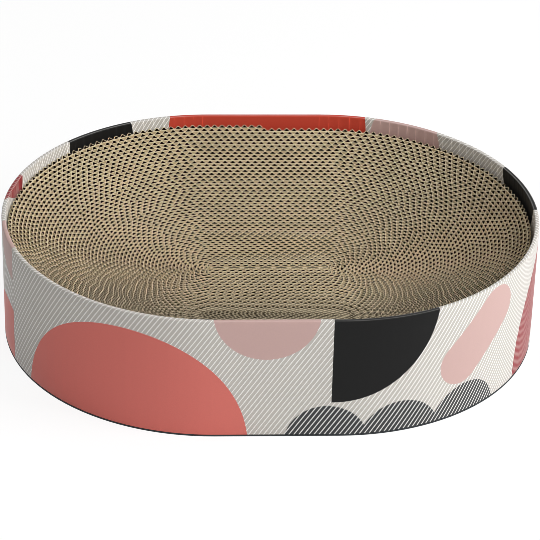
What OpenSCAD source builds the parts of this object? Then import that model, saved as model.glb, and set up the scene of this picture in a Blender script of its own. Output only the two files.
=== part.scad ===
// Oval scratching bed of board: a printed wall folded over at the rim, a base,
// and a wound pad of corrugated strip whose cut edge is a shallow bowl.
// Millimetres. The origin is the middle of the underside, +X along the bed, -Y to its front, +Z up.

/* [Overall] */
// Length over the wall
bed_l = 530; // [470:5:640]
// Width over the wall
bed_w = 412; // [340:2:440]
// Height from the floor to the top of the rim
bed_h = 128; // [112:1:180]

/* [Base] */
// Thickness of the base board
base_t = 1.6; // [1:0.1:4]
// Thickness of the floor liner
liner_t = 2; // [1:0.1:4]
// Clearance round the floor liner
liner_clear = 0.3; // [0.1:0.1:1]

/* [Wall] */
// Thickness of the printed sheet
sheet_t = 1.6; // [1.2:0.1:2.4]
// Space between the outer panel and the turned-in panel
fold_gap = 1.2; // [1:0.1:2]
// Gap under the turned-in panel
panel_foot_gap = 0.4; // [0.2:0.1:1]
// Angle of each lap seam, forward of the bed's end
seam_deg = 20; // [8:1:50]
// Hairline between the two sheets at a seam
seam_gap = 0.3; // [0.2:0.1:0.6]
// Length of the glue flap behind a seam
flap_l = 25; // [12:1:50]
// Clearance on each face of the glue flap
flap_clear = 0.2; // [0.1:0.05:0.3]
// How far the glue tabs reach in from the wall's outer face
tab_l = 22; // [14:1:40]
// Width of the notches between the glue tabs
notch_w = 4; // [2:0.5:8]
// Notches round each end of the bed
notches = 13; // [7:1:21]

/* [Pad] */
// How far the pad's edge lies below the rim
pad_recess = 10; // [6:1:24]
// Depth of the bowl in the middle of the pad
bowl_depth = 56; // [20:1:60]
// Clearance between the pad and the wall
pad_clear = 0.5; // [0.3:0.1:1.5]
// Gap between one turn of the pad and the next
turn_gap = 0.5; // [0.45:0.05:0.8]
// Gap where one strip of the pad ends and the next begins
joint_gap = 0.6; // [0.3:0.1:2]
// Softened edge along the top of each turn
turn_edge = 1; // [0.4:0.1:1.6]

/* [Hidden] */

$fn = 240;

// Wall and base
wall_t = 2 * sheet_t + fold_gap;
half_straight = (bed_l - bed_w) / 2;
tab_z = base_t;
floor_z = base_t + sheet_t + liner_t;
inner_w = bed_w - 2 * wall_t;
overrun = 2;

// Pad: 24 turns in 8 strips, with 24 rings to a turn
strips = 8;
turns_per_strip = 3;
end_steps = 11;
turns = strips * turns_per_strip;
pad_r = inner_w / 2 - pad_clear;
turn_pitch = pad_r / (turns + 1);
step_deg = 180 / end_steps;
radial_gap = turn_gap / cos(step_deg / 2);
turn_half = (turn_pitch - radial_gap) / 2;
first_r = turn_pitch / 2;
bowl_power_share = 2.3;
pad_edge_z = bed_h - pad_recess;
strip_h = pad_edge_z - bowl_depth - floor_z;

// Colours
kraft = [0.78, 0.69, 0.53];
kraft_dark = [0.66, 0.56, 0.41];
print_coral = [0.86, 0.48, 0.43];
print_grey = [0.72, 0.70, 0.67];
board_dark = [0.20, 0.21, 0.21];

// A rectangle with round ends, centred
module stadium(w) {
    square([2 * half_straight, w], center = true);
    for (side = [-1, 1]) translate([side * half_straight, 0]) circle(d = w);
}

// The ring between two such outlines, as insets from the wall's outer face
module ring(outer_inset, inner_inset) {
    difference() {
        stadium(bed_w - 2 * outer_inset);
        stadium(bed_w - 2 * inner_inset);
    }
}

// The part of the plan in front of the seams, drawn back from them by a gap
module front_of_seams(gap, forward_deg = seam_deg) {
    reach = bed_l;
    translate([0, -gap / cos(forward_deg)])
        polygon([
            [half_straight, 0],
            [half_straight + reach * cos(forward_deg), -reach * sin(forward_deg)],
            [half_straight + reach * cos(forward_deg), -reach],
            [-half_straight - reach * cos(forward_deg), -reach],
            [-half_straight - reach * cos(forward_deg), -reach * sin(forward_deg)],
            [-half_straight, 0]
        ]);
}

// Notches that let the glue tabs lie flat round the ends
module tab_notches() {
    for (side = [-1, 1], i = [0 : notches - 1])
        translate([side * half_straight, 0])
            rotate(-side * 90 + side * 180 * i / (notches - 1))
                translate([bed_w / 2 - tab_l - overrun, -notch_w / 2])
                    square([tab_l + overrun - wall_t, notch_w]);
}

// The folded sheet all the way round: outer panel, rim, turned-in panel and glue tabs
module folded_sheet() {
    inner_foot_z = tab_z + sheet_t + panel_foot_gap;
    translate([0, 0, tab_z])
        linear_extrude(bed_h - tab_z) ring(0, sheet_t);
    translate([0, 0, bed_h - sheet_t])
        linear_extrude(sheet_t) ring(0, wall_t);
    translate([0, 0, inner_foot_z])
        linear_extrude(bed_h - inner_foot_z) ring(wall_t - sheet_t, wall_t);
    translate([0, 0, tab_z])
        linear_extrude(sheet_t) difference() {
            ring(0, tab_l);
            tab_notches();
        }
}

// Glue flaps of the back sheet, one behind each seam, in the fold of the front sheet
module glue_flaps() {
    flap_deg = flap_l / (PI * bed_w) * 360;
    root_deg = flap_deg / 4;
    flap_z = tab_z + sheet_t + panel_foot_gap;
    translate([0, 0, flap_z])
        linear_extrude(bed_h - sheet_t - flap_z) difference() {
            ring(sheet_t, sheet_t + fold_gap - flap_clear);
            front_of_seams(0, seam_deg + flap_deg);
            mirror([0, 1]) front_of_seams(0, -seam_deg + root_deg);
            intersection() {
                ring(sheet_t, sheet_t + flap_clear);
                front_of_seams(0);
            }
        }
}

// Turn r is the distance of a turn's middle line from the pad's long axis
function bowl_z(r) = pad_edge_z - bowl_depth * (1 - pow(r / pad_r, bowl_power_share));

// One ring of a strip: a point on its middle line, the way out from the axis, and its distance from it
function ring_at(x, out, r) = [x + r * out[0], r * out[1], out[0], out[1], r];

// The rings of strip s, from its inner end to its outer end, once clockwise for each turn
function strip_rings(s) =
    let (
        start_r = first_r + s * turns_per_strip * turn_pitch,
        end_r = start_r + turns_per_strip * turn_pitch,
        start_x = s == 0 ? -half_straight : joint_gap / 2
    )
    concat(
        [ring_at(start_x, [0, 1], start_r)],
        [
            for (turn = [0 : turns_per_strip - 1], side = [1, -1], k = [0 : end_steps])
                let (
                    r = start_r + turn_pitch * (turn + (side > 0 ? 0 : 0.5) + k / end_steps / 2),
                    a = (side > 0 ? 90 : -90) - k * step_deg
                )
                ring_at(side * half_straight, [cos(a), sin(a)], r)
        ],
        [ring_at(-joint_gap / 2, [0, 1], end_r)]
    );

// The six corners of a strip's section at one ring
function section_at(ring) =
    let (top = bowl_z(ring[4]), bottom = top - strip_h)
    [
        for (c = [
            [-turn_half, bottom],
            [turn_half, bottom],
            [turn_half, top - turn_edge],
            [turn_half - turn_edge, top],
            [turn_edge - turn_half, top],
            [-turn_half, top - turn_edge]
        ])
        [ring[0] + c[0] * ring[2], ring[1] + c[0] * ring[3], c[1]]
    ];

// One strip, wound three times round, as one unbroken band
module wound_strip(s) {
    rings = strip_rings(s);
    last = len(rings) - 1;
    corners = 6;
    points = [for (r = rings, p = section_at(r)) p];
    sides = [
        for (i = [0 : last - 1], c = [0 : corners - 1])
            let (
                a = i * corners + c,
                b = i * corners + (c + 1) % corners,
                d = a + corners,
                e = b + corners
            )
            each [[a, e, b], [a, d, e]]
    ];
    start_cap = [for (c = [1 : corners - 2]) [0, c, c + 1]];
    end_cap = [for (c = [1 : corners - 2]) let (first = last * corners) [first, first + c + 1, first + c]];
    echo(str("pad strip ", s + 1, ": least gap to itself, mm"), least_gap(rings));
    polyhedron(points, concat(sides, start_cap, end_cap), convexity = 10);
}

// Distance in plan from point p to the line from a to b
function to_line(p, a, b) =
    let (
        ab = b - a,
        t = max(0, min(1, ((p - a) * ab) / (ab * ab)))
    )
    norm(p - a - t * ab);

// Least distance between the outer face of a turn and the inner face of the turns round it
function least_gap(rings) =
    let (
        inner = [for (g = rings) [g[0] - turn_half * g[2], g[1] - turn_half * g[3]]],
        outer = [for (g = rings) [g[0] + turn_half * g[2], g[1] + turn_half * g[3]]],
        n = len(rings),
        near = end_steps
    )
    min([
        for (i = [0 : n - 1], j = [0 : n - 2])
            if (abs(i - j) > near)
                min(to_line(inner[i], outer[j], outer[j + 1]), to_line(outer[i], inner[j], inner[j + 1]))
    ]);

module base_board() {
    color(board_dark)
        linear_extrude(base_t) stadium(bed_w);
}

module floor_liner() {
    color(kraft_dark)
        translate([0, 0, base_t + sheet_t])
            linear_extrude(liner_t) stadium(inner_w - 2 * liner_clear);
}

module wall_sheet_front() {
    color(print_coral)
        intersection() {
            folded_sheet();
            linear_extrude(bed_h) front_of_seams(seam_gap);
        }
}

module wall_sheet_back() {
    color(print_grey) {
        difference() {
            folded_sheet();
            translate([0, 0, -overrun]) linear_extrude(bed_h + 2 * overrun) front_of_seams(0);
        }
        glue_flaps();
    }
}

// The straight strip in the middle, in the slot that the first turn leaves
module pad_core() {
    core_back = first_r - turn_half - radial_gap;
    core_front = first_r + turn_pitch / 2 - turn_half - radial_gap;
    color(kraft)
        translate([-half_straight, -core_front, floor_z])
            cube([2 * half_straight, core_front + core_back, strip_h]);
}

module pad_strip(s) {
    color(s % 2 == 0 ? kraft : kraft_dark) wound_strip(s);
}

base_board();
floor_liner();
wall_sheet_front();
wall_sheet_back();
pad_core();
pad_strip(0);  // pad_strip_1
pad_strip(1);  // pad_strip_2
pad_strip(2);  // pad_strip_3
pad_strip(3);  // pad_strip_4
pad_strip(4);  // pad_strip_5
pad_strip(5);  // pad_strip_6
pad_strip(6);  // pad_strip_7
pad_strip(7);  // pad_strip_8
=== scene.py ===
"""Dresses the oval scratching bed: a printed wall folded over at the rim, round a wound and fluted pad.

Lengths are in metres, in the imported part's own frame: +X along the bed, -Y to its front, +Z up.
"""
import math

import bmesh
import bpy
import numpy as np
from bpy.props import FloatProperty, FloatVectorProperty, IntProperty, PointerProperty
from mathutils import Matrix, Vector


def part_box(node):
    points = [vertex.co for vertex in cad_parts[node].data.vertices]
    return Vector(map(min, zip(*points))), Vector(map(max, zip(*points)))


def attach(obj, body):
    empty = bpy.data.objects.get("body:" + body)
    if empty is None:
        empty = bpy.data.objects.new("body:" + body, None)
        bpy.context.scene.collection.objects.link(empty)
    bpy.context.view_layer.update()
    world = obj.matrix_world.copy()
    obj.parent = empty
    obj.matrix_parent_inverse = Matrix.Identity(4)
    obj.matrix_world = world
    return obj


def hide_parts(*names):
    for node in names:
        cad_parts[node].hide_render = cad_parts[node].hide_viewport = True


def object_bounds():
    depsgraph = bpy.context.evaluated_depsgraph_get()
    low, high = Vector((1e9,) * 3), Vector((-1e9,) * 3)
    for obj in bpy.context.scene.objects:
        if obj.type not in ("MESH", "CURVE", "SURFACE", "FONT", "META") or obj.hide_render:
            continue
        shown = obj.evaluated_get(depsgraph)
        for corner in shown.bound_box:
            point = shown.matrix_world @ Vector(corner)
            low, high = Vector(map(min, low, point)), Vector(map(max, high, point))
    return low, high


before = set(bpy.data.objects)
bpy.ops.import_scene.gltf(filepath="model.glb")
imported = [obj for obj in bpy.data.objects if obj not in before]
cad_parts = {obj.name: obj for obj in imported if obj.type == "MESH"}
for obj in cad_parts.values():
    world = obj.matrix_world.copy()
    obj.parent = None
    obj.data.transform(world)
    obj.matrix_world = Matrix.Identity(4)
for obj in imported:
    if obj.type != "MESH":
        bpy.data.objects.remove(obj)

bl_info = {
    "name": "Oval Scratching Bed",
    "version": (1, 0, 0),
    "blender": (4, 5, 0),
    "location": "View3D > Sidebar > Scratching Bed",
    "description": "Makes the printed wall, the fluted pad and the studio of an oval scratching bed",
    "category": "Object",
}

MM = 0.001

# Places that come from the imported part
BED_LOW, BED_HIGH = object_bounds()
BED_R = (BED_HIGH.y - BED_LOW.y) / 2
HALF_STRAIGHT = BED_HIGH.x - BED_R
RIM_Z = BED_HIGH.z
TAB_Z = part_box("base_board")[1].z
LINER_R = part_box("floor_liner")[1].y
CORE_LOW, CORE_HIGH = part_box("pad_core")
STRIP_H = CORE_HIGH.z - CORE_LOW.z
PAD_OUTER_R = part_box("pad_strip_8")[1].y
PERIMETER = 4 * HALF_STRAIGHT + 2 * math.pi * BED_R

# The pad's strips, and how far the middle of its first turn lies from the long axis, in turns
STRIPS = 8
FIRST_TURN = 0.75

# Creases of the wall: how wide each stands up, and how their places stray, in rows of a share of the crease
# step, a rate in radians per metre and a start in radians
CREASE_RIDGE = 0.9 * MM
CREASE_STRAYS = ((0.12, 61, 0), (0.1, 23, 1))

# The width in millimetres of the sensor that the lens is given for
SENSOR_W = 36

# The sockets of a Mix node that mixes colours
MIX_A, MIX_B, MIX_COLOUR = 6, 7, 2


def colour(name, value):
    """A colour that a user may change."""
    return FloatVectorProperty(name=name, description=f"Colour of the {name.lower()}", subtype="COLOR",
                               size=3, min=0, max=1, default=srgb(value))


def length(name, text, default):
    """A length that a user may change."""
    return FloatProperty(name=name, description=text, unit="LENGTH", default=default, precision=5)


def tilt(name, text, degrees):
    """An angle that a user may change, given in degrees."""
    return FloatProperty(name=name, description=text, subtype="ANGLE", default=math.radians(degrees))


def watts(name, text, default):
    """A lamp's power that a user may change."""
    return FloatProperty(name=name, description=text, unit="POWER", default=default)


def amount(name, text, default):
    """A plain number that a user may change."""
    return FloatProperty(name=name, description=text, default=default)


def srgb(code):
    """A hex colour as linear numbers."""
    parts = [int(code[i:i + 2], 16) / 255 for i in (0, 2, 4)]
    return tuple(c / 12.92 if c <= 0.04045 else ((c + 0.055) / 1.055) ** 2.4 for c in parts)


class WallSettings(bpy.types.PropertyGroup):
    """Sizes and inks of the printed wall."""

    sheet: length("Sheet", "Thickness of the printed sheet", 1.6 * MM)
    liner_clear: length("Liner clearance", "Between the floor liner and the wall", 0.3 * MM)
    fold_r: length("Fold radius", "Rounding of the two folds along the rim", 1.3 * MM)
    foot_r: length("Foot radius", "Rounding of the fold at the wall's foot", 0.7 * MM)
    foot_gap: length("Foot gap", "Under the turned-in panel", 0.4 * MM)
    tab: length("Tab reach", "How far the glue tabs reach in from the outer face", 22 * MM)
    notch: length("Notch", "Width of the notches between the glue tabs", 4 * MM)
    seam_angle: tilt("Seam angle", "How far each lap seam lies forward of the end", 20)
    seam_gap: length("Seam gap", "Hairline between the two sheets", 0.3 * MM)
    crease_step: length("Crease step", "Between the upright creases where the board bends", 10.5 * MM)
    crease_rise: length("Crease rise", "Height of a crease on the turned-in panel", 0.3 * MM)
    # The pale line along a crease is a painted highlight
    crease_w: length("Crease width", "Half the width of the pale line along a crease", 0.8 * MM)
    stripe_step: length("Stripe step", "Between the pinstripes, square to them", 4.0 * MM)
    stripe_w: length("Stripe width", "Width of a pinstripe", 0.95 * MM)
    stripe_angle: tilt("Stripe angle", "Lean of the pinstripes from the floor line", 56.6)
    coral: colour("Coral ink", "E07A70")
    red: colour("Red ink", "CC4A38")
    charcoal: colour("Charcoal ink", "171717")
    blush: colour("Blush ink", "CFAEA8")
    grey: colour("Grey ink", "CAC5BE")
    slate: colour("Slate ink", "474849")
    crimson: colour("Crimson ink", "8F2029")
    white: colour("White lines", "FAF8F4")


class PadSettings(bpy.types.PropertyGroup):
    """Sizes and colours of the wound pad."""

    turns: IntProperty(name="Turns", description="Turns in each of the pad's strips", default=7, min=1)
    flute: length("Flute pitch", "From one flute to the next along the strip", 7.9 * MM)
    arch: amount("Arch", "How narrow the crests are that meet the next turn", 1.15)
    paper: length("Paper", "Thickness of the strip's paper at its cut edge", 0.5 * MM)
    band: IntProperty(name="Band", description="Turns in a row with evenly stepped flutes", default=5, min=1)
    joint: length("Strip joint", "Gap where one strip ends and the next begins", 0.6 * MM)
    recess: length("Recess", "How far the pad's edge lies below the rim", 10 * MM)
    bowl: length("Bowl depth", "Depth of the bowl in the middle of the pad", 56 * MM)
    bowl_power: amount("Bowl power", "How flat the bowl's middle is", 2.3)
    columns: IntProperty(name="Columns", description="Faces along one flute", default=12, min=4)
    uneven: length("Unevenness", "How far the cut edge strays up and down", 0.25 * MM)
    edge: colour("Cut edge", "E2D2B2")
    face: colour("Paper face", "CDB892")
    # Painted shade: the colour the flutes turn to a little below the cut edge
    painted_shade: colour("Painted shade in the flutes", "140A01")
    shade: length("Shade depth", "How far below the cut edge the flutes are fully dark", 0.1 * MM)
    burr: length("Burr", "How far the cut edge's pale fibres reach down the paper", 0.02 * MM)
    board: colour("Liner board", "B0986F")
    base: colour("Base board", "33373A")


class StudioSettings(bpy.types.PropertyGroup):
    """Camera, lamps and the light from all round."""

    distance: length("Camera distance", "From the middle of the bed's underside", 2.723)
    azimuth: tilt("Azimuth", "How far the camera stands to the left", 3.22)
    elevation: tilt("Elevation", "Height of the camera over the floor, as an angle", 31.93)
    roll: tilt("Roll", "Turn of the camera about its own line of sight", 1.5)
    lens: amount("Lens", f"Focal length on a {SENSOR_W} mm sensor", 179.4)
    shift_x: amount("Shift X", "Sideways shift of the frame", 0.0035)
    shift_y: amount("Shift Y", "Upward shift of the frame", 0.0944)
    key: watts("Key lamp", "Power of the lamp at the right", 32)
    fill: watts("Fill lamp", "Power of the lamp in front", 14)
    top: watts("Top lamp", "Power of the lamp overhead", 6)
    world: amount("World", "Strength of the light from all round", 0.26)


class Nodes:
    """A material's node tree, with short calls for the sums that draw a pattern."""

    def __init__(self, name):
        self.material = bpy.data.materials.new(name)
        self.material.use_nodes = True
        self.tree = self.material.node_tree
        self.shader = self.tree.nodes["Principled BSDF"]

    def add(self, kind, inputs, **settings):
        """A node with its settings and its inputs, given as numbers, colours or sockets."""
        node = self.tree.nodes.new(kind)
        for key, value in settings.items():
            setattr(node, key, value)
        self.feed(node, inputs)
        return node

    def feed(self, node, inputs):
        """Links each input that is a socket, and sets each that is a number or a colour."""
        for key, value in inputs.items():
            if isinstance(value, bpy.types.NodeSocket):
                self.tree.links.new(value, node.inputs[key])
            else:
                node.inputs[key].default_value = value

    def math(self, operation, a, b=0.0, c=0.0, clamp=False):
        """The result of a sum on numbers."""
        node = self.add("ShaderNodeMath", {0: a, 1: b, 2: c}, operation=operation, use_clamp=clamp)
        return node.outputs[0]

    def vector(self, operation, a, b, result="Vector"):
        """The result of a sum on places, which is a place or a number."""
        return self.add("ShaderNodeVectorMath", {0: a, 1: b}, operation=operation).outputs[result]

    def mix(self, share, a, b):
        """Colour a where share is 0, colour b where it is 1."""
        ends = {MIX_A: a if isinstance(a, bpy.types.NodeSocket) else (*a, 1),
                MIX_B: b if isinstance(b, bpy.types.NodeSocket) else (*b, 1)}
        return self.add("ShaderNodeMix", {0: share, **ends}, data_type="RGBA").outputs[MIX_COLOUR]

    def toned(self, tint, tone):
        """A colour made lighter or darker by a number about 1."""
        grey = self.add("ShaderNodeCombineColor", {0: tone, 1: tone, 2: tone}).outputs[0]
        return self.add("ShaderNodeMix", {0: 1.0, MIX_A: tint, MIX_B: grey}, data_type="RGBA",
                        blend_type="MULTIPLY").outputs[MIX_COLOUR]

    def noise(self, place, scale, detail=2.0):
        """Noise about 0.5, at so many grains per metre."""
        inputs = {"Vector": place, "Scale": scale, "Detail": detail}
        return self.add("ShaderNodeTexNoise", inputs).outputs["Fac"]

    def attribute(self, name):
        """A number that the mesh carries."""
        return self.add("ShaderNodeAttribute", {}, attribute_name=name).outputs["Fac"]

    def object_place(self):
        """A point's place in the bed's own frame."""
        return self.add("ShaderNodeTexCoord", {}).outputs["Object"]

    def surface(self, tint, roughness, specular):
        """The shader's colour, roughness and reflection."""
        inputs = {"Base Color": tint, "Roughness": roughness, "Specular IOR Level": specular}
        self.feed(self.shader, inputs)

    def bump(self, height, strength, distance):
        """Small relief that only the light shows."""
        node = self.add("ShaderNodeBump", {"Height": height, "Strength": strength, "Distance": distance})
        self.feed(self.shader, {"Normal": node.outputs[0]})


def link_piece(name, mesh, material, body, node):
    """Puts a finished mesh in the scene as a piece that rides on a body and stands for a node."""
    piece = bpy.data.objects.new(name, mesh)
    bpy.context.scene.collection.objects.link(piece)
    mesh.materials.append(material)
    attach(piece, body)
    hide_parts(node)


# The wall's sheets


def inner_r(wall):
    """Half the width between the turned-in panels."""
    return LINER_R + wall.liner_clear


def arc_points(centre, radius, start, stop, steps):
    """Points along an arc, as (inset, height), with angles in degrees."""
    angles = [math.radians(start + (stop - start) * i / steps) for i in range(steps + 1)]
    return [(centre[0] + radius * math.cos(a), centre[1] + radius * math.sin(a)) for a in angles]


def sheet_section(wall):
    """The folded sheet's section as (inset from the outer face, height), once round."""
    thick = BED_R - inner_r(wall)
    t = wall.sheet
    foot = TAB_Z + t + wall.foot_gap
    levels = 8
    foot_steps = 3
    fold_steps = 5
    rise = (RIM_Z - wall.fold_r) - (TAB_Z + wall.foot_r)
    panel = [(0, TAB_Z + wall.foot_r + rise * i / levels) for i in range(1, levels)]
    drop = (RIM_Z - wall.fold_r) - foot
    inner_panel = [(thick, RIM_Z - wall.fold_r - drop * i / levels) for i in range(1, levels + 1)]
    return [
        (t, TAB_Z),
        *arc_points((wall.foot_r, TAB_Z + wall.foot_r), wall.foot_r, 270, 180, foot_steps),
        *panel,
        *arc_points((wall.fold_r, RIM_Z - wall.fold_r), wall.fold_r, 180, 90, fold_steps),
        *arc_points((thick - wall.fold_r, RIM_Z - wall.fold_r), wall.fold_r, 90, 0, fold_steps),
        *inner_panel,
        (thick - t, foot),
        (thick - t, RIM_Z - t),
        (t, RIM_Z - t),
    ]


def start_section(bm, section, side, angle):
    """The section's closed outline, stood up at an angle round one end of the bed."""
    out = Vector((math.cos(angle), math.sin(angle), 0))
    centre = Vector((side * HALF_STRAIGHT, 0, 0))
    verts = [bm.verts.new(centre + out * (BED_R - inset) + Vector((0, 0, z))) for inset, z in section]
    return [bm.edges.new((verts[i - 1], verts[i])) for i in range(len(verts))]


def edges_of(geom):
    """The edges among what an operator made."""
    return [g for g in geom if isinstance(g, bmesh.types.BMEdge)]


def turn_end(bm, edges, side, angle, steps):
    """Sweeps the outline round one end of the bed."""
    made = bmesh.ops.spin(bm, geom=edges, cent=(side * HALF_STRAIGHT, 0, 0), axis=(0, 0, 1),
                          dvec=(0, 0, 0), angle=angle, steps=steps, use_merge=False)
    return edges_of(made["geom_last"])


def run_straight(bm, edges, distance, steps):
    """Sweeps the outline along one side of the bed."""
    for _ in range(steps):
        made = bmesh.ops.extrude_edge_only(bm, edges=edges)["geom"]
        verts = [g for g in made if isinstance(g, bmesh.types.BMVert)]
        bmesh.ops.translate(bm, verts=verts, vec=(distance / steps, 0, 0))
        moved = set(verts)
        edges = [e for e in edges_of(made) if e.verts[0] in moved and e.verts[1] in moved]
    return edges


def around(x, y):
    """(distance round the bed from the middle of its front, distance out from its long axis)."""
    over = x - max(-HALF_STRAIGHT, min(HALF_STRAIGHT, x))
    r = math.hypot(over, y)
    half_turn = math.pi * BED_R
    if over == 0:
        u = x if y < 0 else 2 * HALF_STRAIGHT + half_turn - x
    elif over > 0:
        u = HALF_STRAIGHT + BED_R * (math.atan2(y, over) + math.pi / 2)
    else:
        u = 3 * HALF_STRAIGHT + half_turn + BED_R * (math.atan2(-y, -over) + math.pi / 2)
    return u, r


def unrolled(co, thick, low):
    """Where a point of the wall lies on the flat sheet, along it and up it, and how far in it lies."""
    u, r = around(co.x, co.y)
    u = (u - low) % PERIMETER + low
    inset = BED_R - r
    below = RIM_Z - co.z
    return u, RIM_Z + inset + (below if inset > thick / 2 else -below), inset


def crease_wave(wall, u):
    """Shares of how far the board lies inside the true curve, and of how far a crease stands up."""
    stray = sum(share * math.sin(u * rate + start) for share, rate, start in CREASE_STRAYS)
    f = (u / wall.crease_step + stray) % 1
    return 4 * f * (1 - f), math.exp(-((min(f, 1 - f) * wall.crease_step / CREASE_RIDGE) ** 2))


def work_surface(bm, wall, thick, low):
    """Gives the swept wall the flat stretches and creases of bent board."""
    sagitta = wall.crease_step ** 2 / 8 / BED_R
    straight_over = MM / 10
    for v in bm.verts:
        over = v.co.x - max(-HALF_STRAIGHT, min(HALF_STRAIGHT, v.co.x))
        if abs(over) < straight_over:
            continue
        u, _, inset = unrolled(v.co, thick, low)
        out = Vector((over, v.co.y, 0)).normalized()
        flat, crease = crease_wave(wall, u)
        shift = -sagitta * flat
        if inset > thick - wall.sheet / 2 and v.co.z < RIM_Z - wall.fold_r:
            shift -= wall.crease_rise * crease
        v.co += out * shift


def cap(bm, edges):
    """Closes the end of a swept outline."""
    bmesh.ops.contextual_create(bm, geom=edges)


def add_tabs(bm, wall, start, stop, side):
    """The row of glue tabs round one end, each a short flap with a notch beside it."""
    section = [(wall.sheet, TAB_Z), (wall.sheet, TAB_Z + wall.sheet),
               (wall.tab, TAB_Z + wall.sheet), (wall.tab, TAB_Z)]
    tab_w = 54 * MM
    tab_steps = 6
    count = max(1, round((stop - start) * BED_R / tab_w))
    gap = wall.notch / BED_R
    for i in range(count):
        first = start + (stop - start) * i / count + gap / 2
        edges = start_section(bm, section, side, first)
        last = turn_end(bm, edges, side, (stop - start) / count - gap, tab_steps)
        cap(bm, edges)
        cap(bm, last)


def wall_sheet(name, start, sweep, order, wall, material):
    """One printed sheet: swept round part of an end, along a side and round part of the other end."""
    thick = BED_R - inner_r(wall)
    face_w = 1.5 * MM
    straight_steps = 12
    sharp = math.radians(35)
    bm = bmesh.new()
    steps = round(sweep * BED_R / face_w)
    first_side, direction = order
    first = start_section(bm, sheet_section(wall), first_side, start)
    edges = turn_end(bm, first, first_side, sweep, steps)
    edges = run_straight(bm, edges, direction * 2 * HALF_STRAIGHT, straight_steps)
    last = turn_end(bm, edges, -first_side, sweep, steps)
    cap(bm, first)
    cap(bm, last)
    length_round = 2 * HALF_STRAIGHT + 2 * sweep * BED_R
    low = (0 if direction > 0 else PERIMETER / 2) - length_round / 2 - MM
    work_surface(bm, wall, thick, low)
    add_tabs(bm, wall, start, start + sweep, first_side)
    add_tabs(bm, wall, start + sweep, start + 2 * sweep, -first_side)
    bmesh.ops.recalc_face_normals(bm, faces=bm.faces)
    map_sheet(bm, wall, thick, low)
    mesh = bpy.data.meshes.new(name)
    bm.to_mesh(mesh)
    bm.free()
    mesh.shade_smooth()
    mesh.set_sharp_from_angle(angle=sharp)
    link_piece(name, mesh, material, "shell", name.replace("printed", "wall"))


def map_sheet(bm, wall, thick, low):
    """Two maps: the flat sheet in metres for the print, and the same in rows that fill a square.

    The outer panel takes up the two lowest rows, one for each half of the sheet's length, the turned-in
    panel the next two, and what is hidden in the fold the narrow row at the top.
    """
    row_step, row_h, hidden_h, hidden_row = 0.237, 0.235, 0.05, 4
    margin_u, margin_v = 0.004, 0.002
    print_map = bm.loops.layers.uv.new("Print")
    packed = bm.loops.layers.uv.new("OFBake")
    places = {v: unrolled(v.co, thick, low) for v in bm.verts}
    us = [p[0] for p in places.values()]
    first, half = min(us), (max(us) - min(us)) / 2
    fold = RIM_Z + thick / 2
    skin = wall.sheet / 3
    for face in bm.faces:
        spots = [places[v] for v in face.verts]
        mid_u = sum(p[0] for p in spots) / len(spots)
        mid_v = sum(p[1] for p in spots) / len(spots)
        mid_inset = sum(p[2] for p in spots) / len(spots)
        top = sum(v.co.z for v in face.verts) / len(spots)
        seen = mid_inset < skin or mid_inset > thick - skin or top > RIM_Z - skin
        seen = seen and mid_inset < thick + skin
        column = int(mid_u > first + half)
        row = (2 if mid_v > fold else 0) + column if seen else hidden_row
        for loop in face.loops:
            u, v, _ = places[loop.vert]
            loop[print_map].uv = (u, v)
            across = (u - first) / half - column if seen else (u - first) / half / 2
            up = (v - (fold if mid_v > fold else 0)) / fold if seen else v / fold / 2
            up = min(max(up, 0), 1) * (row_h if seen else hidden_h)
            loop[packed].uv = (margin_u + (1 - 2 * margin_u) * across, row * row_step + margin_v + up)


# The print


def disc(n, place, u, v, r):
    """Signed distance to a disc."""
    away = n.vector("DISTANCE", place, (u, v, 0), "Value")
    return n.math("SUBTRACT", away, r)


def beyond(n, place, u, v, degrees):
    """Signed distance to the left-hand side of a line that runs through a place at an angle."""
    a = math.radians(degrees)
    normal = (math.sin(a), -math.cos(a), 0)
    across = n.vector("DOT_PRODUCT", place, normal, "Value")
    return n.math("SUBTRACT", across, normal[0] * u + normal[1] * v)


def capsule(n, place, u, v, span, degrees, r):
    """Signed distance to a bar with round ends, from the middle of one end's rounding."""
    a = math.radians(degrees)
    along = (math.cos(a), math.sin(a), 0)
    from_end = n.vector("SUBTRACT", place, (u, v, 0))
    reach = n.vector("DOT_PRODUCT", from_end, along, "Value")
    held = n.math("MINIMUM", n.math("MAXIMUM", reach, 0.0), span)
    nearest = n.add("ShaderNodeVectorMath", {0: along, 3: held}, operation="SCALE").outputs[0]
    away = n.vector("DISTANCE", from_end, nearest, "Value")
    return n.math("SUBTRACT", away, r)


def quarter(n, place, u, v, r, degrees):
    """Signed distance to a quarter of a disc, with its corner at a place and its first edge at an angle."""
    return shared(n, disc(n, place, u, v, r), beyond(n, place, u, v, degrees),
                  beyond(n, place, u, v, degrees - 90))


def leaf(n, place, u, v, half_length, half_width, degrees):
    """Signed distance to the part that two like discs share, a pointed leaf that lies at an angle."""
    a = math.radians(degrees + 90)
    r = (half_length ** 2 + half_width ** 2) / (2 * half_width)
    shift = ((r - half_width) * math.cos(a), (r - half_width) * math.sin(a))
    centres = ((u + shift[0], v + shift[1]), (u - shift[0], v - shift[1]))
    return shared(n, *(disc(n, place, *centre, r) for centre in centres))


def shared(n, *distances):
    """The part that all the shapes share."""
    found = distances[0]
    for distance in distances[1:]:
        found = n.math("MAXIMUM", found, distance)
    return found


def inked(n, distance, softness=0.25 * MM):
    """1 inside a shape and 0 outside it, with an edge as sharp as print."""
    return n.math("SUBTRACT", 0.5, n.math("DIVIDE", distance, softness), clamp=True)


def stripes(n, place, step, width, degrees):
    """1 on thin lines that lean at an angle, and 0 between them."""
    across = beyond(n, place, 0, 0, degrees)
    return inked(n, n.math("SUBTRACT", n.math("PINGPONG", across, step / 2), width / 2))


SHAPES = {"disc": disc, "capsule": capsule, "quarter": quarter, "leaf": leaf}

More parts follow.
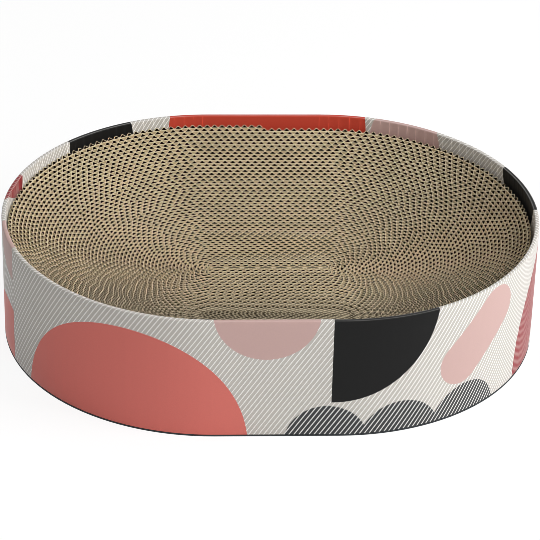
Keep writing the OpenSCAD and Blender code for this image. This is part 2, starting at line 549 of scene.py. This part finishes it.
# The print from its lowest layer to its highest: shape, ink, then place and sizes in metres and degrees on
# the flat sheet, which runs round the bed from the middle of its front, and up the wall and over the rim
MOTIFS = (
    ("disc", "coral", -0.150, -0.012, 0.122),
    ("disc", "blush", -0.012, 0.136, 0.050),
    ("quarter", "charcoal", 0.050, 0.142, 0.104, -90),
    ("disc", "lined slate", 0.046, -0.006, 0.040),
    ("disc", "lined slate", 0.118, -0.006, 0.040),
    ("disc", "lined slate", 0.190, -0.006, 0.040),
    ("capsule", "blush", 0.182, 0.060, 0.062, 42, 0.024),
    ("leaf", "lined crimson", 0.318, 0.050, 0.084, 0.036, 58),
    ("disc", "charcoal", 0.430, 0.128, 0.046),
    ("disc", "coral", 0.560, 0.010, 0.100),
    ("disc", "blush", 0.610, 0.150, 0.040),
    ("disc", "red", 0.760, 0.150, 0.105),
    ("quarter", "charcoal", 0.985, 0.150, 0.080, 180),
    ("leaf", "lined crimson", 1.120, 0.075, 0.090, 0.038, 120),
    ("disc", "lined slate", 0.700, -0.006, 0.048),
    ("disc", "lined slate", 0.786, -0.006, 0.048),
    ("disc", "coral", 1.200, -0.010, 0.070),
    ("disc", "blush", 1.222, 0.152, 0.060),
)


def print_material(wall):
    """The print: big rounded shapes over pinstripes, on coated board."""
    n = Nodes("printed board")
    place = n.add("ShaderNodeUVMap", {}, uv_map="Print").outputs[0]
    lean = math.degrees(wall.stripe_angle)
    pin = stripes(n, place, wall.stripe_step, wall.stripe_w, lean)
    fineness, leaf_lean = 0.8, 82
    leaf_lines = stripes(n, place, wall.stripe_step * fineness, wall.stripe_w * fineness, leaf_lean)
    inks = {name: getattr(wall, name) for name in ("coral", "red", "charcoal", "blush")}
    inks["lined slate"] = n.mix(pin, wall.slate, wall.white)
    inks["lined crimson"] = n.mix(leaf_lines, wall.crimson, wall.blush)
    ink = n.mix(pin, wall.grey, wall.white)
    for shape, name, *sizes in MOTIFS:
        ink = n.mix(inked(n, SHAPES[shape](n, place, *sizes)), ink, inks[name])
    # Painted highlight along the rim's folds
    ink = painted_fold_highlights(n, place, ink, wall)
    # Painted highlight along the creases
    ink = painted_crease_highlights(n, place, ink, wall)
    grain = n.noise(n.object_place(), scale=900, detail=3)
    tone = n.math("MULTIPLY_ADD", grain, 0.08, c=0.96)
    n.surface(n.toned(ink, tone), roughness=0.45, specular=0.15)
    n.bump(grain, strength=0.08, distance=0.05 * MM)
    return n.material


def painted_fold_highlights(n, place, ink, wall):
    """Painted highlight: the ink a little paler along the rim's folds, in patches, most of all along the
    inner one.
    """
    v = n.add("ShaderNodeSeparateXYZ", {0: place}).outputs[1]
    patches = n.noise(place, scale=60, detail=3)
    thick = BED_R - inner_r(wall)
    from_fold = 0.6 * MM
    inner_fold = (RIM_Z + thick - from_fold, 0.9 * MM, 0.4)
    outer_fold = (RIM_Z + from_fold, 0.8 * MM, 0.16)
    for height, half_width, most in (inner_fold, outer_fold):
        off = n.math("ABSOLUTE", n.math("SUBTRACT", v, height))
        line = n.math("SUBTRACT", 1.0, n.math("DIVIDE", off, half_width), clamp=True)
        ink = n.mix(n.math("MULTIPLY", n.math("MULTIPLY", line, patches), most), ink, wall.white)
    return ink


def painted_crease_highlights(n, place, ink, wall):
    """Painted highlight: the ink a little paler along the creases of the turned-in panel, round the bed's
    ends.
    """
    parts = n.add("ShaderNodeSeparateXYZ", {0: place})
    u, v = parts.outputs[0], parts.outputs[1]
    creases = n.math("DIVIDE", u, wall.crease_step)
    for share, rate, start in CREASE_STRAYS:
        swing = n.math("SINE", n.math("MULTIPLY_ADD", u, rate, c=start))
        creases = n.math("MULTIPLY_ADD", swing, share, c=creases)
    off = n.math("MULTIPLY", n.math("PINGPONG", creases, 0.5), wall.crease_step)
    line = n.math("SUBTRACT", 1.0, n.math("DIVIDE", off, wall.crease_w), clamp=True)
    inside = n.math("GREATER_THAN", v, RIM_Z + BED_R - inner_r(wall) + wall.fold_r / 2)
    along = n.add("ShaderNodeSeparateXYZ", {0: n.object_place()}).outputs[0]
    at_end = n.math("GREATER_THAN", n.math("ABSOLUTE", along), HALF_STRAIGHT)
    patches = n.math("MULTIPLY_ADD", n.noise(place, scale=75), 2.4, c=-0.9, clamp=True)
    share = n.math("MULTIPLY", n.math("MULTIPLY", line, patches), n.math("MULTIPLY", inside, at_end))
    most_lighter = 0.9
    return n.toned(ink, n.math("MULTIPLY_ADD", share, most_lighter, c=1.0))


# The pad


def flutes_round(pad, pitch, turn):
    """Flutes round each end of the bed on one turn, the same for all the turns of a band."""
    band = turn // pad.band
    band_r = (FIRST_TURN + (band + 0.5) * pad.band) * pitch
    step, stray, stray_rate = 0.5, 0.12, 2.4
    step += stray * math.sin(stray_rate * band)
    return (round(2 * math.pi * band_r / pad.flute) + step) / 2


def coil_path(strip, pad, pitch):
    """The middle of one strip's winding, as an array of x, y and flutes passed, from its inner end."""
    start_r = FIRST_TURN * pitch + strip * pad.turns * pitch
    steps = 120
    parts = 8
    flutes_straight = round(parts * HALF_STRAIGHT / pad.flute) / parts
    first_turn = strip * pad.turns
    passed = sum(4 * flutes_straight + 2 * flutes_round(pad, pitch, t) for t in range(first_turn))
    rows = [(-HALF_STRAIGHT if strip == 0 else pad.joint / 2, start_r, passed)]
    passed += flutes_straight
    for turn in range(pad.turns):
        flutes_end = flutes_round(pad, pitch, first_turn + turn)
        for side in (1, -1):
            for k in range(steps + 1):
                r = start_r + pitch * (turn + (0 if side > 0 else 0.5) + k / steps / 2)
                a = math.radians(90 * side - 180 * k / steps)
                place = side * HALF_STRAIGHT + r * math.cos(a), r * math.sin(a)
                rows.append((*place, passed + flutes_end * k / steps))
            passed += flutes_end + 2 * flutes_straight
    rows.append((-pad.joint / 2, start_r + pitch * pad.turns, passed - flutes_straight))
    return np.array(rows)


def even_points(path, step):
    """The path's rows taken again at even steps, and how far along it each one is."""
    lengths = np.hypot(*np.diff(path[:, :2], axis=0).T)
    along = np.concatenate([[0], np.cumsum(lengths)])
    count = max(2, int(along[-1] / step) + 1)
    at = np.linspace(0, along[-1], count)
    return np.array([np.interp(at, along, column) for column in path.T]).T, at


def bowl_height(pad, r):
    """Height of the pad's cut edge at a distance from its long axis."""
    edge = RIM_Z - pad.recess
    return edge - pad.bowl * (1 - (np.minimum(r, PAD_OUTER_R) / PAD_OUTER_R) ** pad.bowl_power)


def cut_height(pad, r, along, phase):
    """The same with the small ups and downs of the saw's cut."""
    slow, fast = 37, 211
    stray = 0.6 * np.sin(along * slow + phase) + 0.4 * np.sin(along * fast + 2 * phase)
    return bowl_height(pad, r) + pad.uneven / 2 * stray


def ribbon(bm, rows, along, offset, pad, number, wavy):
    """A band of paper that stands along the points, moved out from them by offset.

    Each point keeps its depth below the cut edge, how far along the strip it is, the flutes passed, and
    whether the band is the wavy one.
    """
    depth, run, flutes, waves = (bm.verts.layers.float.get(name) or bm.verts.layers.float.new(name)
                                 for name in ("depth", "run", "flutes", "wavy"))
    points, count = rows[:, :2], rows[:, 2]
    over = points[:, 0] - np.clip(points[:, 0], -HALF_STRAIGHT, HALF_STRAIGHT)
    r = np.hypot(over, points[:, 1])
    out = np.array([over, points[:, 1]]).T / r[:, None]
    xy = points + out * offset[:, None]
    top = cut_height(pad, r, along, number)
    height = STRIP_H - pad.uneven / 2
    columns = len(points) - 1
    made = bmesh.ops.create_grid(bm, x_segments=columns, y_segments=1, size=1)
    for v in made["verts"]:
        i = round((v.co.x + 1) / 2 * columns)
        low = v.co.y < 0
        v[depth] = height if low else 0
        v[run] = along[i]
        v[flutes] = count[i]
        v[waves] = wavy
        v.co = (xy[i, 0], xy[i, 1], top[i] - (height if low else 0))


def fluted_strip(name, path, pad, pitch, material, number):
    """A single-faced strip: a flat liner, and outside it a wavy band that meets the next turn."""
    bm = bmesh.new()
    paper = pad.paper
    flat_columns = 3
    clear = 0.03 * MM
    sharp = math.radians(40)
    wave_points, wave_along = even_points(path, pad.flute / pad.columns)
    flat_points, flat_along = even_points(path, pad.flute / flat_columns)
    inner = -pitch / 2 + paper / 2
    ribbon(bm, flat_points, flat_along, np.full(len(flat_along), inner), pad, number, 0)
    low, high = inner + paper + clear, pitch / 2 - paper / 2 - clear
    arch = (0.5 - 0.5 * np.cos(2 * math.pi * wave_points[:, 2])) ** pad.arch
    wave = low + (high - low) * arch
    ribbon(bm, wave_points, wave_along, wave, pad, number, 1)
    bmesh.ops.recalc_face_normals(bm, faces=bm.faces)
    mesh = bpy.data.meshes.new(name)
    bm.to_mesh(mesh)
    bm.free()
    mesh.shade_smooth()
    mesh = thickened(mesh, paper)
    bevel_cut(mesh, pad, number)
    mark_flutes(mesh, pitch)
    map_strip(mesh, pad)
    mesh.set_sharp_from_angle(angle=sharp)
    link_piece(name, mesh, material, "pad", name.replace("fluted", "pad"))


def thickened(mesh, paper):
    """The paper with its thickness, half of it to each side."""
    piece = bpy.data.objects.new(mesh.name, mesh)
    bpy.context.scene.collection.objects.link(piece)
    solid = piece.modifiers.new("paper", "SOLIDIFY")
    solid.thickness = paper
    solid.offset = 0
    bpy.context.view_layer.update()
    graph = bpy.context.evaluated_depsgraph_get()
    thick_mesh = bpy.data.meshes.new_from_object(piece.evaluated_get(graph))
    bpy.data.objects.remove(piece)
    bpy.data.meshes.remove(mesh)
    return thick_mesh


def read(data, name, width, kind=np.float32):
    """One property of a row of mesh items, as an array."""
    values = np.zeros(len(data) * width, kind)
    data.foreach_get(name, values)
    return values.reshape(-1, width) if width > 1 else values


def bevel_cut(mesh, pad, phase):
    """Slopes each paper's cut edge with the bowl."""
    place = read(mesh.vertices, "co", 3)
    over = place[:, 0] - np.clip(place[:, 0], -HALF_STRAIGHT, HALF_STRAIGHT)
    along = read(mesh.attributes["run"].data, "value", 1)
    depth = read(mesh.attributes["depth"].data, "value", 1)
    place[:, 2] = cut_height(pad, np.hypot(over, place[:, 1]), along, phase) - depth
    mesh.vertices.foreach_set("co", place.ravel())
    mesh.update()


def ramp(values, start, width):
    """0 up to the start, and from there up to 1 over the width."""
    return np.clip((values - start) / width, 0, 1)


def mark_flutes(mesh, pitch):
    """Marks the faces that take painted shade: those that line the flutes, on the liner's side of the wave
    and in the pockets behind it.

    The painted shade in the pockets fades out towards the bed's ends and towards the middle, and the
    outermost turns have none.
    """
    middle = read(mesh.polygons, "center", 3)
    normal = read(mesh.polygons, "normal", 3)
    over = middle[:, 0] - np.clip(middle[:, 0], -HALF_STRAIGHT, HALF_STRAIGHT)
    faces_out = over * normal[:, 0] + middle[:, 1] * normal[:, 1] > 0
    first_corner = read(mesh.polygons, "loop_start", 1, np.int32)
    first_vertex = read(mesh.loops, "vertex_index", 1, np.int32)[first_corner]
    wavy = read(mesh.attributes["wavy"].data, "value", 1)[first_vertex] > 0.5
    # Painted shade on the faces on the liner's side of the wave
    painted_shade = mesh.attributes.new("painted_shade", "FLOAT", "FACE")
    painted_shade.data.foreach_set("value", (wavy != faces_out).astype(np.float32))
    r = np.hypot(over, middle[:, 1])
    towards_side = ramp(np.abs(middle[:, 1]) / r, start=0.25, width=0.45)
    towards_rim = ramp(r / PAD_OUTER_R, start=0.25, width=0.35)
    plain_turns = 2.5
    # Painted shade in the pockets behind the wave, on the sides and towards the rim
    behind = wavy & faces_out & (r < PAD_OUTER_R - plain_turns * pitch)
    pocket_shade = mesh.attributes.new("pocket_shade", "FLOAT", "FACE")
    pocket_shade.data.foreach_set("value", (behind * towards_side * towards_rim).astype(np.float32))


def map_strip(mesh, pad):
    """A map that stacks short lengths of the strip, with the cut edge at its top."""
    packed = mesh.uv_layers.new(name="OFBake")
    depth = read(mesh.attributes["depth"].data, "value", 1)
    run = read(mesh.attributes["run"].data, "value", 1)
    corner_vertex = read(mesh.loops, "vertex_index", 1, np.int32)
    starts = read(mesh.polygons, "loop_start", 1, np.int32)
    sizes = read(mesh.polygons, "loop_total", 1, np.int32)
    stretch = 24 * pad.flute
    room = 1.06
    top, tall = 0.98, 0.96
    face_run = np.minimum.reduceat(run[corner_vertex], starts)
    base = np.repeat(np.floor(face_run / stretch) * stretch, sizes)
    u = (run[corner_vertex] - base) / (stretch * room)
    v = top - tall * depth[corner_vertex] / depth.max()
    packed.uv.foreach_set("vector", np.stack([u, v], 1).astype(np.float32).ravel())


def kraft_material(pad):
    """Corrugated strip: pale where it is cut, brown on its faces, with painted shade down in the flutes and
    in the pockets.
    """
    n = Nodes("corrugated kraft")
    place = n.object_place()
    depth = n.attribute("depth")
    # Painted shade: the marked faces in the flutes and pockets turn dark within the shade depth below the
    # cut edge
    from_liner = n.math("PINGPONG", n.attribute("flutes"), 0.5)
    opening = {"Value": from_liner, "From Min": 0.08, "From Max": 0.14}
    open_part = n.add("ShaderNodeMapRange", opening).outputs[0]
    painted_shade = n.math("MULTIPLY_ADD", n.attribute("painted_shade"), open_part, c=n.attribute("pocket_shade"), clamp=True)
    cut = n.math("LESS_THAN", depth, pad.burr)
    into = n.math("DIVIDE", depth, pad.shade, clamp=True)
    walls = n.mix(n.math("MULTIPLY", painted_shade, into), pad.face, pad.painted_shade)
    paper = n.mix(cut, walls, pad.edge)
    fibre = n.noise(place, scale=1400)
    patch = n.noise(place, scale=45)
    darkest, spread = 0.7, 0.3
    tone = n.math("MULTIPLY_ADD", n.math("ADD", fibre, patch), spread, c=darkest)
    n.surface(n.toned(paper, tone), roughness=0.95, specular=0.05)
    return n.material


def board_material(name, tint, roughness):
    """Plain board, with its fibres and a faint cloudiness."""
    n = Nodes(name)
    place = n.object_place()
    fibre = n.noise(place, scale=700, detail=4)
    cloud = n.noise(place, scale=25)
    lighter, darker = 1.18, 0.8
    pale = [min(1, c * lighter) for c in tint]
    dark = [c * darker for c in tint]
    share = n.math("ADD", n.math("MULTIPLY", fibre, 0.6), n.math("MULTIPLY", cloud, 0.4))
    n.surface(n.mix(share, dark, pale), roughness, specular=0.3)
    n.bump(fibre, strength=0.2, distance=0.1 * MM)
    return n.material


# The studio


def place_camera(studio):
    """The camera at the angle of a product photograph, from the front and above."""
    data = bpy.data.cameras.new("camera")
    camera = bpy.data.objects.new("camera", data)
    bpy.context.scene.collection.objects.link(camera)
    bpy.context.scene.camera = camera
    az, el = studio.azimuth, studio.elevation
    ahead = Vector((math.sin(az) * math.cos(el), math.cos(az) * math.cos(el), -math.sin(el)))
    turned = ahead.to_track_quat("-Z", "Y").to_matrix().to_4x4() @ Matrix.Rotation(studio.roll, 4, "Z")
    camera.matrix_world = Matrix.Translation(-ahead * studio.distance) @ turned
    data.sensor_width = SENSOR_W
    data.lens = studio.lens
    data.shift_x = studio.shift_x
    data.shift_y = studio.shift_y
    data.clip_start = 0.05
    data.clip_end = 100


def area_lamp(name, place, aim, size, power):
    """An oblong soft lamp that faces a point."""
    data = bpy.data.lights.new(name, "AREA")
    data.shape = "RECTANGLE"
    data.size, data.size_y = size
    data.energy = power
    lamp = bpy.data.objects.new(name, data)
    bpy.context.scene.collection.objects.link(lamp)
    lamp.location = place
    lamp.rotation_euler = (Vector(aim) - Vector(place)).to_track_quat("-Z", "Y").to_euler()


def place_lamps(studio):
    """A soft key at the right, a weaker fill in front and a wide lamp overhead."""
    middle = (0, 0, 0.06)
    area_lamp("key", (1.8, -0.6, 1.3), middle, (1.0, 0.9), studio.key)
    area_lamp("fill", (0.7, -2.1, 1.3), middle, (1.4, 1.2), studio.fill)
    area_lamp("top", (0.15, 0.35, 1.9), middle, (1.6, 1.2), studio.top)


def lay_floor():
    """A wide pale floor that keeps the bed's soft shadow and looks white to the camera."""
    half_side = 12
    bm = bmesh.new()
    bmesh.ops.create_grid(bm, x_segments=1, y_segments=1, size=half_side)
    mesh = bpy.data.meshes.new("floor")
    bm.to_mesh(mesh)
    bm.free()
    floor = bpy.data.objects.new("floor", mesh)
    bpy.context.scene.collection.objects.link(floor)
    n = Nodes("floor")
    n.surface((0.85, 0.85, 0.85, 1), roughness=0.9, specular=0.0)
    path = n.add("ShaderNodeLightPath", {})
    seen = n.math("MAXIMUM", path.outputs["Is Camera Ray"], path.outputs["Is Glossy Ray"])
    white = n.add("ShaderNodeEmission", {"Color": (1, 1, 1, 1), "Strength": 1.1}).outputs[0]
    whiteness = 0.8
    share = n.math("MULTIPLY", seen, whiteness)
    both_looks = n.add("ShaderNodeMixShader", {0: share, 1: n.shader.outputs[0], 2: white}).outputs[0]
    n.tree.links.new(both_looks, n.tree.nodes["Material Output"].inputs["Surface"])
    mesh.materials.append(n.material)


def light_world(studio):
    """Even light from all round, and white behind the bed."""
    world = bpy.data.worlds.new("studio")
    bpy.context.scene.world = world
    world.use_nodes = True
    tree = world.node_tree
    background = tree.nodes["Background"]
    background.inputs["Color"].default_value = (1, 1, 1, 1)
    path = tree.nodes.new("ShaderNodeLightPath")
    seen = tree.nodes.new("ShaderNodeMath")
    seen.operation = "MAXIMUM"
    tree.links.new(path.outputs["Is Camera Ray"], seen.inputs[0])
    tree.links.new(path.outputs["Is Glossy Ray"], seen.inputs[1])
    strength = tree.nodes.new("ShaderNodeMapRange")
    strength.inputs["To Min"].default_value = studio.world
    strength.inputs["To Max"].default_value = 1.0
    tree.links.new(seen.outputs[0], strength.inputs["Value"])
    tree.links.new(strength.outputs[0], background.inputs["Strength"])


# The operators and the panel


class BED_OT_wall(bpy.types.Operator):
    """Make the two printed sheets of the wall"""

    bl_idname = "bed.wall"
    bl_label = "Printed Wall"

    def execute(self, context):
        wall = context.scene.bed_wall
        material = print_material(wall)
        gap = wall.seam_gap / BED_R
        front_start = math.pi + wall.seam_angle + gap
        front_sweep = math.pi / 2 - wall.seam_angle - gap
        wall_sheet("printed_sheet_front", front_start, front_sweep, (-1, 1), wall, material)
        back_start = -wall.seam_angle
        back_sweep = math.pi / 2 + wall.seam_angle
        wall_sheet("printed_sheet_back", back_start, back_sweep, (1, -1), wall, material)
        return {"FINISHED"}


class BED_OT_boards(bpy.types.Operator):
    """Finish the base board and the floor liner"""

    bl_idname = "bed.boards"
    bl_label = "Base and Liner"

    def execute(self, context):
        pad = context.scene.bed_pad
        boards = (("base_board", pad.base, 0.7), ("floor_liner", pad.board, 0.85))
        for name, tint, roughness in boards:
            material = board_material(name.replace("_", " "), tint, roughness)
            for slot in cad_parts[name].material_slots:
                slot.material = material
        return {"FINISHED"}


class BED_OT_pad(bpy.types.Operator):
    """Wind the pad's strips round its core"""

    bl_idname = "bed.pad"
    bl_label = "Wound Pad"

    def execute(self, context):
        pad = context.scene.bed_pad
        material = kraft_material(pad)
        pitch = PAD_OUTER_R / (STRIPS * pad.turns + FIRST_TURN + 0.5)
        core_flutes = round(2 * HALF_STRAIGHT / pad.flute)
        core = np.array([[-HALF_STRAIGHT, -pitch / 4, 0], [HALF_STRAIGHT, -pitch / 4, core_flutes]])
        fluted_strip("fluted_core", core, pad, pitch, material, 0)
        for strip in range(STRIPS):
            path = coil_path(strip, pad, pitch)
            fluted_strip(f"fluted_strip_{strip + 1}", path, pad, pitch, material, strip + 1)
        return {"FINISHED"}


class BED_OT_studio(bpy.types.Operator):
    """Set up the camera, the lamps and the floor"""

    bl_idname = "bed.studio"
    bl_label = "Studio"

    def execute(self, context):
        studio = context.scene.bed_studio
        place_camera(studio)
        place_lamps(studio)
        lay_floor()
        light_world(studio)
        crisp_filter = 0.7
        context.scene.view_settings.view_transform = "Standard"
        context.scene.cycles.filter_width = crisp_filter
        return {"FINISHED"}


class BED_PT_panel(bpy.types.Panel):
    """The bed's operators and sizes in the sidebar"""

    bl_idname = "BED_PT_panel"
    bl_label = "Scratching Bed"
    bl_space_type = "VIEW_3D"
    bl_region_type = "UI"
    bl_category = "Scratching Bed"

    def draw(self, context):
        for operator in OPERATORS:
            self.layout.operator(operator.bl_idname)
        for group in (context.scene.bed_wall, context.scene.bed_pad, context.scene.bed_studio):
            box = self.layout.box()
            for name in group.__annotations__:
                box.prop(group, name)


OPERATORS = (BED_OT_studio, BED_OT_wall, BED_OT_boards, BED_OT_pad)
CLASSES = (WallSettings, PadSettings, StudioSettings, *OPERATORS, BED_PT_panel)


def register():
    for cls in CLASSES:
        bpy.utils.register_class(cls)
    bpy.types.Scene.bed_wall = PointerProperty(type=WallSettings)
    bpy.types.Scene.bed_pad = PointerProperty(type=PadSettings)
    bpy.types.Scene.bed_studio = PointerProperty(type=StudioSettings)


def unregister():
    del bpy.types.Scene.bed_studio
    del bpy.types.Scene.bed_pad
    del bpy.types.Scene.bed_wall
    for cls in reversed(CLASSES):
        bpy.utils.unregister_class(cls)


def main():
    """Makes the studio, the printed wall, the boards and the pad."""
    register()
    bpy.ops.bed.studio()
    bpy.ops.bed.wall()
    bpy.ops.bed.boards()
    bpy.ops.bed.pad()


if __name__ == "__main__":
    main()
